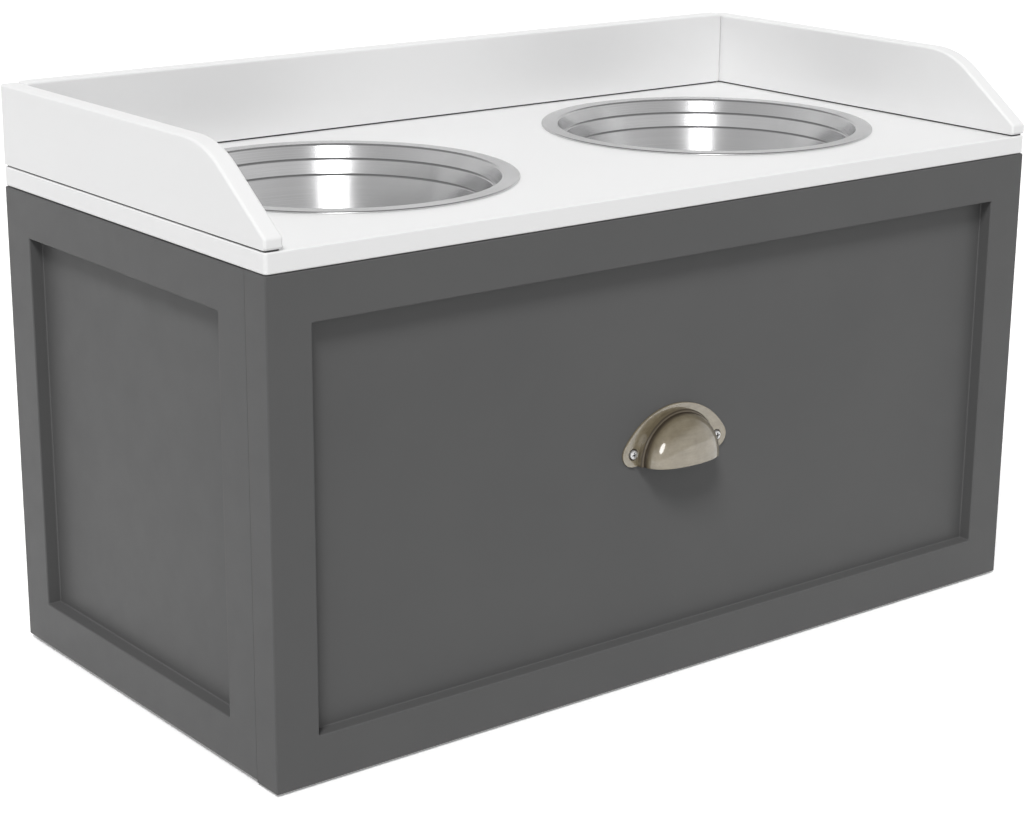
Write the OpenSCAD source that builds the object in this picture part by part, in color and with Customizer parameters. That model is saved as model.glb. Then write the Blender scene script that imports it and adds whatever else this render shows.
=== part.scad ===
// Elevated dog feeder with storage
// A painted cabinet holds one wide drawer behind a framed overlay front. A white top board
// with a low guard on three sides carries two round steel bowls, which lift out.
// +X is to the right, +Y to the back and +Z up. The origin is on the floor, under the middle
// of the whole object, with the pull counted in.

/* [Cabinet] */
// Width over the framed sides
cabinet_w = 600; // [560:1:760]
// Depth from the face of the drawer front to the back
cabinet_d = 300; // [292:1:380]
// Height of the side panels
side_h = 298; // [240:1:380]
// Thickness of the side panels
side_t = 12; // [10:0.5:18]
// Thickness of the bottom panel
bottom_t = 12; // [10:0.5:18]
// Thickness of the back panel
back_t = 5; // [3:0.5:8]
// Distance of the back panel from the rear edges
back_inset = 8; // [5:0.5:10]
// Depth of the grooves that hold the back panel
back_groove_d = 6; // [3:0.5:7]
// Thickness of the two stretchers
stretcher_t = 12; // [10:0.5:18]
// Width of the front stretcher, which lies between the drawer and the bowls
stretcher_w = 60; // [30:1:100]
// Space between the front stretcher and the bowls above it
stretcher_bowl_gap = 3.5; // [1:0.5:20]
// Space between the back stretcher, under the top board, and the bowl cut-outs
stretcher_gap = 5; // [2:0.5:6]

/* [Frame strips] */
// Thickness of the strips that frame the sides and the drawer front
strip_t = 9; // [5:0.5:12]
// Width of the strips
strip_w = 29; // [20:0.5:45]
// Width of the front strip on each side
side_front_strip_w = 27.5; // [20:0.5:45]

/* [Top board and guards] */
// Thickness of the top board
top_t = 12; // [10:0.5:18]
// Thickness of the guards
guard_t = 12; // [9:0.5:15]
// Height of the side guards
guard_h = 51; // [35:1:80]
// Height of the back guard
back_guard_h = 52; // [35:1:90]
// Height of the low nose at the front of the side guards
guard_nose_h = 7.5; // [5:0.5:20]
// Angle of the slope that runs down to the nose
guard_slope = 36; // [30:1:60]
// Radius where the slope meets the top edge
guard_round_r = 62; // [10:1:70]

/* [Bowls] */
// Outer radius of the rim
bowl_rim_r = 112.5; // [108:0.5:118]
// Width of the rim, from its outer edge to the mouth
bowl_rim_w = 11; // [9:0.5:20]
// Depth from the top of the rim to the underside
bowl_depth = 66; // [50:1:90]
// Thickness of the steel
bowl_t = 0.8; // [0.6:0.1:1.2]
// Height of the rim's flat part over the top board
bowl_rim_gap = 0.5; // [0.3:0.1:2]
// Width of the rim's turned-down edge
bowl_curl_w = 1.6; // [1:0.1:3]
// Slant of the wall from upright
bowl_slant = 18; // [8:1:24]
// Radius between the wall and the floor
bowl_floor_round_r = 28; // [12:1:30]
// Depth of the upper ring step below the rim
bowl_step_1 = 9; // [6:0.5:12]
// Depth of the lower ring step below the rim
bowl_step_2 = 18.5; // [16:0.5:22]
// Width of each ring step
bowl_step_w = 1; // [0.4:0.1:2]
// Space between the rim and a side guard
bowl_side_gap = 23.5; // [10:0.5:34]
// Space between the rim and the back guard
bowl_back_gap = 21.5; // [10:0.5:27]
// Radial play of a bowl in its cut-out
bowl_play = 1.2; // [0.5:0.1:2]

/* [Drawer] */
// Thickness of the drawer front's panel
front_panel_t = 12; // [10:0.5:18]
// Gap between the closed drawer front and the cabinet
front_gap = 1; // [0.8:0.1:3]
// Gap between the drawer front and the top board
front_top_gap = 1; // [0.5:0.1:3]
// How far the drawer front hangs below the side panels
front_drop = 1.5; // [0:0.1:2.5]
// Thickness of the drawer sides
drawer_side_t = 12; // [12:0.5:16]
// Thickness of the drawer back
drawer_back_t = 12; // [10:0.5:16]
// Thickness of the drawer bottom
drawer_bottom_t = 5; // [3:0.5:8]
// Height of the drawer bottom over the lower edges of the drawer sides
drawer_bottom_up = 10; // [6:0.5:16]
// Depth of the grooves that hold the drawer bottom
drawer_groove_d = 5; // [3:0.5:7]
// Play of a board in its groove
groove_play = 0.2; // [0.1:0.05:0.5]
// Space between the drawer box and the front stretcher above it
drawer_top_gap = 3.5; // [1:0.5:40]
// Space behind the drawer box
drawer_rear_gap = 15; // [4:1:40]

/* [Cup pull] */
// Height of the pull's lower edge over the drawer front's lower edge
pull_up = 140; // [100:1:190]
// Distance between the pull's two screws
pull_pitch = 68.5; // [67:0.5:80]
// Radius of the ears round the screws
pull_ear_r = 8.2; // [6:0.1:9]
// Height of the pull's flange
pull_h = 35; // [33:0.5:42]
// Thickness of the pull's metal
pull_t = 1.2; // [1:0.1:2]
// Radius of the cup where it leaves the flange
pull_cup_r = 31; // [26:0.1:31.5]
// Width of the ledge round the dome
pull_ledge_w = 2; // [1:0.1:4]
// Height of the ledge over the panel
pull_ledge_h = 5.5; // [3:0.1:8]
// Depth of the dome over the ledge
pull_dome_h = 15; // [10:0.5:20]
// Radius of the pull's screws
pull_screw_r = 1.5; // [1.2:0.1:2]
// Radius of the heads of the pull's screws
pull_head_r = 3.1; // [2.5:0.1:3.5]
// Height of the heads of the pull's screws
pull_head_h = 1.7; // [1.4:0.1:2.5]

/* [Runners] */
// Space for a runner between a drawer side and a cabinet side
runner_gap = 12.5; // [12.5:0.1:14]
// Thickness of the runners' sheet steel
runner_t = 1; // [0.8:0.1:1.1]
// Height of the cabinet runners over the bottom panel
runner_up = 5; // [3:0.5:20]
// Distance of the cabinet runners from the cabinet's front
runner_setback = 2; // [1:0.5:4]
// Height of the lip that guides the drawer's rollers
runner_lip_h = 4; // [2:0.5:5]
// Height of the drawer sides over the underside of the cabinet runners
drawer_up = 4; // [3:0.5:5]
// Width of the flange under each drawer side
runner_flange_w = 11; // [6:0.5:12]
// Radius of the rollers
roller_r = 8; // [7:0.1:9]
// Width of the rollers
roller_w = 5; // [4:0.1:5]
// Radius of the rivets that the rollers turn on
rivet_r = 2; // [1.5:0.1:2.5]
// Radial play of a roller on its rivet
roller_play = 0.05; // [0.02:0.01:0.1]
// Gap between a roller and the track that it runs on
track_gap = 0.3; // [0.2:0.05:0.5]
// Distance of a roller's axis from the end of its runner
roller_inset = 12; // [10:0.5:16]
// Width of the cabinet runners' upper flange
runner_cap_w = 7; // [5:0.5:9]
// Distance of a runner's first and last screws from its ends
runner_screw_inset = 35; // [25:1:60]

/* [Fasteners] */
// Radius of the chipboard screws
screw_r = 2; // [1.5:0.1:2.2]
// Radius of the screw heads
screw_head_r = 3.8; // [3:0.1:4.2]
// How deep a short screw bites
screw_bite = 9; // [5:0.5:9]
// How deep the guard screws bite into the guards
guard_screw_bite = 25; // [15:1:30]
// Distance of the side guards' front screws from the board's front edge
guard_screw_front = 95; // [70:1:130]
// Distance of the side guards' rear screws from the board's rear edge
guard_screw_back = 60; // [30:1:90]
// Distance of the back guard's screws from the middle
guard_screw_x = 192; // [120:1:240]
// Distance of the back stretcher's screws from the side panels
stretcher_screw_inset = 80; // [45:1:140]
// Length of the screws that hold the drawer back
back_screw_l = 30; // [25:1:40]
// Distance of the drawer back's side screws from its upper and lower edges
back_screw_inset = 35; // [20:1:50]
// Distance of the screws under the drawer bottom from the middle
under_screw_x = 170; // [60:1:200]
// Radius of the dowels
dowel_r = 3; // [2:0.1:3.5]
// Length of the dowels
dowel_l = 24; // [16:1:30]
// Distance of the cabinet's dowels from the ends of the joint
dowel_inset = 80; // [65:1:100]
// Radius of the cam bolts' shanks
bolt_r = 2.5; // [2:0.1:2.8]
// Radius of the cam discs
cam_r = 6; // [5:0.1:6.5]
// Thickness of the cam discs
cam_h = 9.5; // [8.5:0.1:9.7]
// Distance of a cam disc's axis from the joint
cam_reach = 24; // [18:1:30]
// Distance of the cabinet's cam bolts from the ends of the joint
cam_inset = 45; // [35:1:55]
// Distance of the drawer's cam bolts from the edges of the drawer sides
drawer_cam_inset = 40; // [30:1:60]
// Play round a screw, dowel or cam in its hole
hole_play = 0.05; // [0.02:0.01:0.15]

/* [Feet and bumpers] */
// Radius of the glides
glide_r = 10; // [6:0.5:12]
// Thickness of the glides
glide_t = 3; // [3:0.5:10]
// Distance of the glides' axes from the sides, the front and the back panel
glide_inset = 18; // [14:0.5:30]
// How deep the glides' pins go into the bottom panel
glide_pin_d = 9; // [5:0.5:9]
// Radius of the soft bumpers behind the drawer front
bumper_r = 4; // [3:0.5:5]
// Gap between a bumper and the cabinet when the drawer is shut
bumper_gap = 0.3; // [0.2:0.05:0.5]
// Distance of the bumpers from the ends of the side panels
bumper_inset = 25; // [12:1:60]

/* [Hidden] */
$fn = 96;

GREY = "dimgray";
WHITE = "whitesmoke";
STEEL = "silver";
ZINC = "lightsteelblue";
BIRCH = "burlywood";

// Depth: the pull stands proud of the drawer front, and the origin is midway
pull_out = pull_ledge_h + pull_dome_h - strip_t;
front_y = pull_out - (cabinet_d + pull_out) / 2;
back_y = front_y + cabinet_d;
panel_y = front_y + strip_t;
front_back_y = panel_y + front_panel_t;
carcass_y = front_back_y + front_gap;
back_panel_y = back_y - back_inset - back_t;

// Width
half_w = cabinet_w / 2;
panel_x = half_w - strip_t;
inner_x = panel_x - side_t;
guard_x = half_w - guard_t;

// Height
side_z = glide_t;
floor_z = side_z + bottom_t;
top_z = side_z + side_h;
board_z = top_z + top_t;
front_z = side_z - front_drop;
front_top = top_z - front_top_gap;

// Bowls, and the stretchers that stay clear of them
bowl_mouth_r = bowl_rim_r - bowl_rim_w;
bowl_x = guard_x - bowl_side_gap - bowl_rim_r;
bowl_y = back_y - guard_t - bowl_back_gap - bowl_rim_r;
bowl_top = board_z + bowl_rim_gap + bowl_t;
bowl_floor = bowl_top - bowl_depth;
cutout_r = bowl_mouth_r + bowl_t + bowl_play;
front_stretcher_z = bowl_floor - stretcher_bowl_gap - stretcher_t;
front_stretcher_mid_y = carcass_y + stretcher_w / 2;
back_stretcher_z = top_z - stretcher_t;
back_stretcher_y = bowl_y + cutout_r + stretcher_gap;
back_stretcher_mid_y = (back_stretcher_y + back_panel_y) / 2;

// Runners: widths grow from the drawer side to the cabinet side, heights from the runner's foot
runner_z = floor_z + runner_up;
web_x = inner_x - runner_gap;
lip_x = web_x + 2 * runner_t;
wing_x = inner_x - 2 * runner_t;
roller_x = web_x + (runner_gap - roller_w) / 2;
roller_end = roller_x + roller_w;
roller_side_play = 0.1;
roller_z = runner_z + runner_t + track_gap + roller_r;
wing_z = roller_z + roller_r + track_gap;
cap_z = wing_z + runner_t + track_gap;
rivet_head_r = 1.6 * rivet_r;
rivet_head_t = 0.7;
rivet_upset = 0.2;
sheet_head_r = 1.4 * screw_r;
sheet_head_t = 1.1;

// Drawer box
drawer_z = runner_z + drawer_up;
drawer_top = front_stretcher_z - drawer_top_gap;
drawer_inner_x = web_x - drawer_side_t;
drawer_back_y = back_panel_y - drawer_rear_gap;
drawer_bottom_z = drawer_z + drawer_bottom_up;
drawer_floor_z = drawer_bottom_z + drawer_bottom_t;
drawer_tongue = drawer_groove_d - groove_play;
runner_l = drawer_back_y - front_back_y;
runner_y = carcass_y + runner_setback;

// Cup pull
pull_z = front_z + pull_up;
pull_ear_x = pull_pitch / 2;
pull_rise = pull_h - pull_ear_r;
pull_arc_r = (pull_ear_x ^ 2 + pull_rise ^ 2 - pull_ear_r ^ 2) / (2 * (pull_rise - pull_ear_r));
dome_r = pull_cup_r - pull_ledge_w;

// Fasteners: bolts and dowels bite the same depth, so their bores end alike
joint_bite = 9;
bolt_thread_r = bolt_r + 0.5;
bolt_head_r = bolt_r + 0.7;
bolt_head_l = 4;
bolt_bore_r = bolt_head_r + 0.2;
cross_w = 1;
cross_d = 1.2;
pull_cross_w = 0.7;
glide_pin_r = 1.5;

// Boxes, sides and small fasteners

// A box from its lowest corner to its highest
module block(low, high) {
    translate(low) cube(high - low);
}

// What is drawn for the right, on the right (1) or the left (-1)
module on_side(side) {
    if (side > 0) children();
    else mirror([1, 0, 0]) children();
}

module on_both_sides() {
    for (side = [-1, 1]) on_side(side) children();
}

// A cylinder round the X axis, from x0 to x1
module rod(r, x0, x1) {
    translate([x0, 0, 0]) rotate([0, 90, 0]) cylinder(r = r, h = x1 - x0);
}

// Countersunk screw that runs up from its head, or its hole where play is given
module flat_screw(l, play = 0) {
    cylinder(r = screw_r + play, h = l + play);
    translate([0, 0, -play])
        cylinder(r1 = screw_head_r + play, r2 = screw_r + play, h = screw_head_r - screw_r);
}

// Low-headed screw along +X through sheet steel, from the sheet's near face, or its hole
module sheet_screw(play = 0) {
    rod(screw_r + play, 0, runner_t + screw_bite + play);
    if (play == 0) rod(sheet_head_r, -sheet_head_t, 0);
}

// Dowel along X across a joint at 0, or its hole
module dowel(play = 0) {
    rod(dowel_r + play, -joint_bite - play, dowel_l - joint_bite + play);
}

// Cam bolt: its thread bites at -X of a joint at 0, and its head lies in the cam disc
module cam_bolt() {
    rod(bolt_thread_r, -joint_bite, 0);
    rod(bolt_r, -1, cam_reach);
    rod(bolt_head_r, cam_reach + 1 - bolt_head_l, cam_reach + 1);
}

module cam_bolt_hole() {
    rod(bolt_thread_r + hole_play, -joint_bite - hole_play, 1);
}

// Cam disc in a board of thickness t, let in flush with the board's face at -Z
module cam_disc(t) {
    translate([cam_reach, 0, -t / 2]) difference() {
        cylinder(r = cam_r, h = cam_h);
        block([-cam_r - 1, -bolt_bore_r, t / 2 - bolt_bore_r], [bolt_bore_r + 1, bolt_bore_r, cam_h + 1]);
        for (turn = [0, 90]) rotate(turn) cube([cam_r, cross_w, 2 * cross_d], center = true);
    }
}

module cam_disc_hole(t) {
    rod(bolt_bore_r, -1, cam_reach);
    translate([cam_reach, 0, -t / 2 - 1]) cylinder(r = cam_r + hole_play, h = cam_h + hole_play + 1);
}

// Places of the fasteners, all given for the right side

module at_joint_x(y, z) {
    translate([inner_x, y, z]) mirror([1, 0, 0]) children();
}

module at_bottom_cams() {
    for (y = [carcass_y + cam_inset, back_panel_y - cam_inset])
        at_joint_x(y, side_z + bottom_t / 2) children();
}

module at_carcass_dowels() {
    for (y = [carcass_y + dowel_inset, back_panel_y - dowel_inset])
        at_joint_x(y, side_z + bottom_t / 2) children();
}

module at_stretcher_cams() {
    at_joint_x(front_stretcher_mid_y, front_stretcher_z + stretcher_t / 2) children();
    at_joint_x(back_stretcher_mid_y, back_stretcher_z + stretcher_t / 2) children();
}

// Upright cam bolts that hold the top board on the side panels
module at_top_cams() {
    for (y = [carcass_y + cam_inset, back_panel_y - cam_inset])
        translate([inner_x + side_t / 2, y, top_z]) rotate([0, 90, 0]) children();
}

module at_stretcher_screws() {
    translate([inner_x - stretcher_screw_inset, back_stretcher_mid_y, back_stretcher_z]) children();
}

module at_guard_screws() {
    for (y = [front_y + guard_screw_front, back_y - guard_screw_back])
        translate([half_w - guard_t / 2, y, top_z]) children();
    translate([guard_screw_x, back_y - guard_t / 2, top_z]) children();
}

// Three places along a runner that starts at y
module at_runner_screws(x, y) {
    for (along = [runner_screw_inset, runner_l / 2, runner_l - runner_screw_inset])
        translate([x, y + along, roller_z]) children();
}

module at_cabinet_runner_screws() {
    at_runner_screws(inner_x - runner_t, runner_y) children();
}

module at_drawer_runner_screws() {
    at_runner_screws(web_x + runner_t, front_back_y) mirror([1, 0, 0]) children();
}

module at_drawer_joint(z) {
    translate([web_x - drawer_side_t / 2, front_back_y, z]) rotate([90, 0, 90]) children();
}

module at_drawer_cams() {
    for (z = [drawer_z + drawer_cam_inset, drawer_top - drawer_cam_inset]) at_drawer_joint(z) children();
}

module at_drawer_dowels() {
    at_drawer_joint((drawer_z + drawer_top) / 2) children();
}

// Screws through the drawer sides into the ends of the drawer back
module at_back_end_screws() {
    for (z = [drawer_floor_z + back_screw_inset, drawer_top - back_screw_inset])
        translate([web_x, drawer_back_y - drawer_back_t / 2, z]) rotate([0, -90, 0]) children();
}

// Screws through the drawer bottom into the lower edge of the drawer back
module at_back_under_screws() {
    for (x = [-under_screw_x, 0, under_screw_x])
        translate([x, drawer_back_y - drawer_back_t / 2, drawer_bottom_z]) children();
}

module at_glides() {
    for (y = [carcass_y + glide_inset, back_panel_y - glide_inset])
        translate([inner_x - glide_inset, y, 0]) children();
}

module at_cabinet_roller() {
    translate([0, runner_y + roller_inset, roller_z]) children();
}

module at_drawer_roller() {
    translate([0, drawer_back_y - roller_inset, roller_z]) children();
}

// Cabinet sides

module side_panel(side) {
    color(GREY) on_side(side) difference() {
        block([inner_x, carcass_y, side_z], [panel_x, back_y, top_z]);
        block([inner_x - 1, back_panel_y - groove_play, floor_z - back_groove_d],
              [inner_x + back_groove_d, back_panel_y + back_t, top_z + 1]);
        at_bottom_cams() cam_bolt_hole();
        at_stretcher_cams() cam_bolt_hole();
        at_top_cams() cam_disc_hole(side_t);
        at_carcass_dowels() dowel(hole_play);
        at_cabinet_runner_screws() sheet_screw(hole_play);
    }
}

module side_stile(side, y, w) {
    color(GREY) on_side(side) block([panel_x, y, side_z], [half_w, y + w, top_z]);
}

module side_rail(side, z) {
    color(GREY) on_side(side)
        block([panel_x, carcass_y + side_front_strip_w, z], [half_w, back_y - strip_w, z + strip_w]);
}

// Panels and stretchers between the sides

module bottom_panel() {
    color(GREY) difference() {
        block([-inner_x, carcass_y, side_z], [inner_x, back_y, floor_z]);
        block([-inner_x - 1, back_panel_y - groove_play, floor_z - back_groove_d],
              [inner_x + 1, back_panel_y + back_t, floor_z + 1]);
        on_both_sides() {
            at_bottom_cams() cam_disc_hole(bottom_t);
            at_carcass_dowels() dowel(hole_play);
            at_glides() glide(hole_play);
        }
    }
}

module back_panel() {
    tongue = back_groove_d - groove_play;
    color(GREY) block([-inner_x - tongue, back_panel_y, floor_z - tongue],
                      [inner_x + tongue, back_panel_y + back_t, top_z]);
}

module stretcher(y0, y1, z) {
    color(BIRCH) difference() {
        block([-inner_x, y0, z], [inner_x, y1, z + stretcher_t]);
        on_both_sides() at_stretcher_cams() cam_disc_hole(stretcher_t);
        stretcher_screws(hole_play);
    }
}

module front_stretcher() {
    stretcher(carcass_y, carcass_y + stretcher_w, front_stretcher_z);
}

module back_stretcher() {
    stretcher(back_stretcher_y, back_panel_y, back_stretcher_z);
}

// Top board and guards

module top_board() {
    color(WHITE) difference() {
        block([-half_w, front_y, top_z], [half_w, back_y, board_z]);
        on_both_sides() {
            translate([bowl_x, bowl_y, top_z - 1]) cylinder(r = cutout_r, h = top_t + 2);
            at_top_cams() cam_bolt_hole();
        }
        guard_screws(hole_play);
        stretcher_screws(hole_play);
    }
}

// Side view of a side guard, from the nose at 0 to the back at cabinet_d
module guard_outline() {
    bend = [(guard_h - guard_nose_h) / tan(guard_slope), guard_h];
    tangent = guard_round_r * tan(guard_slope / 2);
    on_slope = bend - tangent * [cos(guard_slope), sin(guard_slope)];
    on_top = bend + [tangent, 0];
    difference() {
        polygon([[0, 0], [0, guard_nose_h], bend, [cabinet_d, guard_h], [cabinet_d, 0]]);
        difference() {
            polygon([on_slope, bend + [-1, 1], on_top]);
            translate(on_top - [0, guard_round_r]) circle(r = guard_round_r, $fn = 180);
        }
    }
}

module side_guard(side) {
    color(WHITE) on_side(side) difference() {
        translate([guard_x, front_y, board_z]) rotate([90, 0, 90]) linear_extrude(guard_t) guard_outline();
        guard_screws(hole_play);
    }
}

module back_guard() {
    color(WHITE) difference() {
        block([-guard_x, back_y - guard_t, board_z], [guard_x, back_y, board_z + back_guard_h]);
        guard_screws(hole_play);
    }
}

// Bowls

// Points of a bowl's section from the mouth to the axis, on a face t outside the inner one
function bowl_face(t) =
    let (
        mouth = bowl_mouth_r + t / cos(bowl_slant),
        slope = tan(bowl_slant),
        step_1 = bowl_step_1 + t,
        step_2 = bowl_step_2 + t,
        round_r = bowl_floor_round_r + t,
        round_z = bowl_floor + bowl_t + bowl_floor_round_r,
        round_top = bowl_top - round_z + round_r * sin(bowl_slant),
        round_x = mouth - round_top * slope - 2 * bowl_step_w - round_r * cos(bowl_slant)
    )
    [
        [mouth - t * slope, bowl_top - t],
        [mouth - step_1 * slope, bowl_top - step_1],
        [mouth - step_1 * slope - bowl_step_w, bowl_top - step_1 - bowl_step_w / 2],
        [mouth - step_2 * slope - bowl_step_w, bowl_top - step_2],
        [mouth - step_2 * slope - 2 * bowl_step_w, bowl_top - step_2 - bowl_step_w / 2],
        for (i = [0:8]) let (a = bowl_slant + i * (90 - bowl_slant) / 8)
            [round_x + round_r * cos(a), round_z - round_r * sin(a)],
        [0, round_z - round_r]
    ];

function reversed(points) = [for (i = [len(points) - 1:-1:0]) points[i]];

module bowl(side) {
    curl_x = bowl_rim_r - bowl_curl_w;
    rim = [[curl_x, bowl_top - bowl_t], [curl_x, board_z], [bowl_rim_r, board_z], [bowl_rim_r, bowl_top]];
    color(STEEL) translate([side * bowl_x, bowl_y, 0])
        rotate_extrude($fn = 180) polygon(concat(bowl_face(0), reversed(bowl_face(bowl_t)), rim));
}

// Drawer front

module drawer_front_panel() {
    color(GREY) difference() {
        block([-half_w, panel_y, front_z], [half_w, front_back_y, front_top]);
        drawer_groove();
        on_both_sides() {
            at_drawer_cams() cam_bolt_hole();
            at_drawer_dowels() dowel(hole_play);
        }
        at_pull_screws() pull_screw(hole_play);
    }
}

module drawer_stile(side) {
    color(GREY) on_side(side) block([half_w - strip_w, front_y, front_z], [half_w, panel_y, front_top]);
}

module drawer_rail(z) {
    color(GREY) block([strip_w - half_w, front_y, z], [half_w - strip_w, panel_y, z + strip_w]);
}

// Drawer box

// The groove for the drawer bottom in the sides and in the front panel
module drawer_groove() {
    block([-drawer_inner_x - drawer_groove_d, front_back_y - drawer_groove_d, drawer_bottom_z],
          [drawer_inner_x + drawer_groove_d, drawer_back_y + 1, drawer_floor_z + groove_play]);
}

module drawer_side(side) {
    color(WHITE) difference() {
        on_side(side) block([drawer_inner_x, front_back_y, drawer_z], [web_x, drawer_back_y, drawer_top]);
        drawer_groove();
        on_side(side) {
            at_drawer_cams() cam_disc_hole(drawer_side_t);
            at_drawer_dowels() dowel(hole_play);
            at_back_end_screws() flat_screw(back_screw_l, hole_play);
            at_drawer_runner_screws() sheet_screw(hole_play);
        }
    }
}

module drawer_back() {
    color(WHITE) difference() {
        block([-drawer_inner_x, drawer_back_y - drawer_back_t, drawer_floor_z],
              [drawer_inner_x, drawer_back_y, drawer_top]);
        drawer_back_screws(hole_play);
    }
}

module drawer_bottom() {
    color(WHITE) difference() {
        block([-drawer_inner_x - drawer_tongue, front_back_y - drawer_tongue, drawer_bottom_z],
              [drawer_inner_x + drawer_tongue, drawer_back_y, drawer_floor_z]);
        drawer_back_screws(hole_play);
    }
}

module drawer_back_screws(play = 0) {
    color(ZINC) {
        on_both_sides() at_back_end_screws() flat_screw(back_screw_l, play);
        at_back_under_screws() flat_screw(back_screw_l, play);
    }
}

// Soft bumpers that meet the front edges of the cabinet sides
module drawer_bumpers() {
    color("white") on_both_sides() for (z = [side_z + bumper_inset, top_z - bumper_inset])
        translate([(half_w + inner_x) / 2, front_back_y, z]) rotate([-90, 0, 0])
            cylinder(r = bumper_r, h = front_gap - bumper_gap);
}

// Cup pull: drawn face up, from the middle of its lower edge, on the face of the front panel

module at_pull() {
    translate([0, panel_y, pull_z]) rotate([90, 0, 0]) children();
}

module at_pull_screws() {
    at_pull() for (side = [-1, 1]) translate([side * pull_ear_x, pull_ear_r, 0]) children();
}

// The flange: an arch that runs tangent into the two ears and is cut flat below
module flange_outline() {
    arc_z = pull_h - pull_arc_r;
    ray = 2 * [pull_ear_x, pull_ear_r - arc_z];
    intersection() {
        translate([0, arc_z]) circle(r = pull_arc_r, $fn = 180);
        polygon([[0, arc_z], [ray[0], arc_z + ray[1]], [0, 2 * pull_h], [-ray[0], arc_z + ray[1]]]);
        translate([-pull_pitch, 0]) square([2 * pull_pitch, 2 * pull_h]);
    }
    translate([-pull_ear_x, 0]) square([pull_pitch, pull_ear_r]);
    for (side = [-1, 1]) translate([side * pull_ear_x, pull_ear_r]) circle(r = pull_ear_r);
}

// Section of the cup from the panel to the axis, on a face t inside the outer one
function cup_face(t) = [
    [0, -t],
    [pull_cup_r - t, -t],
    [pull_cup_r - t, pull_ledge_h - t],
    for (i = [0:12]) let (a = i * 90 / 12)
        [(dome_r - t) * cos(a), pull_ledge_h + (pull_dome_h - t) * sin(a)]
];

module cup_pull() {
    color("tan") at_pull() difference() {
        union() {
            linear_extrude(pull_t) flange_outline();
            rotate_extrude(angle = 180, $fn = 180) polygon(cup_face(0));
        }
        rotate_extrude($fn = 180) polygon(cup_face(pull_t));
        for (side = [-1, 1]) translate([side * pull_ear_x, pull_ear_r, 0]) pull_screw(hole_play);
    }
}

// Round-headed screw with a cross recess, from its tip in the panel, or its hole
module pull_screw(play = 0) {
    round_h = pull_head_h / 2;
    translate([0, 0, -screw_bite - play])
        cylinder(r = pull_screw_r + play, h = screw_bite + pull_t + 2 * play);
    if (play == 0) difference() {
        translate([0, 0, pull_t]) rotate_extrude() polygon([
            [0, 0], [pull_head_r, 0],
            for (i = [0:6]) let (a = i * 90 / 6) [pull_head_r * cos(a), round_h + round_h * sin(a)]
        ]);
        for (turn = [0, 90]) translate([0, 0, pull_t + pull_head_h]) rotate(turn)
            cube([pull_head_r, pull_cross_w, pull_head_h], center = true);
    }
}

module pull_screws() {
    color(STEEL) at_pull_screws() pull_screw();
}

// Runners: channels on the cabinet sides, and angles with a wing on the drawer sides

module cabinet_runner(side) {
    end_y = runner_y + runner_l;
    color(WHITE) on_side(side) difference() {
        union() {
            block([inner_x - runner_t, runner_y, runner_z], [inner_x, end_y, cap_z + runner_t]);
            block([lip_x, runner_y, runner_z], [inner_x, end_y, runner_z + runner_t]);
            block([lip_x, runner_y, runner_z], [lip_x + runner_t, end_y, runner_z + runner_lip_h]);
            block([inner_x - runner_cap_w, runner_y, cap_z], [inner_x, end_y, cap_z + runner_t]);
        }
        at_cabinet_roller() rod(rivet_r + hole_play, inner_x - 2 * runner_t, inner_x + 1);
        at_cabinet_runner_screws() sheet_screw(hole_play);
    }
}

module drawer_runner(side) {
    color(WHITE) on_side(side) difference() {
        union() {
            block([web_x, front_back_y, drawer_z - runner_t],
                  [web_x + runner_t, drawer_back_y, wing_z + runner_t]);
            block([web_x - runner_flange_w, front_back_y, drawer_z - runner_t],
                  [web_x + runner_t, drawer_back_y, drawer_z]);
            block([web_x, front_back_y, wing_z], [wing_x, drawer_back_y, wing_z + runner_t]);
        }
        at_drawer_roller() rod(rivet_r + hole_play, web_x - 1, web_x + 2 * runner_t);
        at_drawer_runner_screws() sheet_screw(hole_play);
    }
}

module roller() {
    color("white") difference() {
        rod(roller_r, roller_x, roller_end);
        rod(rivet_r + roller_play, roller_x - 1, roller_end + 1);
    }
}

// Rivets: the shoulder keeps the roller off the web, and the head keeps it on
module cabinet_rivets() {
    color(ZINC) on_both_sides() at_cabinet_roller() {
        rod(rivet_r, roller_x - rivet_upset, inner_x);
        rod(rivet_head_r, roller_end + roller_side_play, inner_x - runner_t);
        rod(rivet_head_r, roller_x - roller_side_play - rivet_head_t, roller_x - roller_side_play);
    }
}

module drawer_rivets() {
    color(ZINC) on_both_sides() at_drawer_roller() {
        rod(rivet_r, web_x, roller_end + rivet_upset);
        rod(rivet_head_r, web_x + runner_t, roller_x - roller_side_play);
        rod(rivet_head_r, roller_end + roller_side_play, roller_end + roller_side_play + rivet_head_t);
    }
}

// Glide: a plastic pad with a pin that is knocked into the bottom panel, or the pin's hole
module glide(play = 0) {
    cylinder(r = glide_pin_r + play, h = glide_t + glide_pin_d + play);
    if (play == 0) cylinder(r = glide_r, h = glide_t);
}

// Fasteners and feet in their places

module cabinet_runner_screws() {
    color(ZINC) on_both_sides() at_cabinet_runner_screws() sheet_screw();
}

module drawer_runner_screws() {
    color(ZINC) on_both_sides() at_drawer_runner_screws() sheet_screw();
}

module guard_screws(play = 0) {
    color(ZINC) on_both_sides() at_guard_screws() flat_screw(top_t + guard_screw_bite, play);
}

module stretcher_screws(play = 0) {
    color(ZINC) on_both_sides() at_stretcher_screws() flat_screw(stretcher_t + screw_bite, play);
}

module carcass_cam_bolts() {
    color(ZINC) on_both_sides() {
        at_bottom_cams() cam_bolt();
        at_stretcher_cams() cam_bolt();
        at_top_cams() cam_bolt();
    }
}

module carcass_cam_discs() {
    color(ZINC) on_both_sides() {
        at_bottom_cams() cam_disc(bottom_t);
        at_stretcher_cams() cam_disc(stretcher_t);
        at_top_cams() cam_disc(side_t);
    }
}

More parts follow.
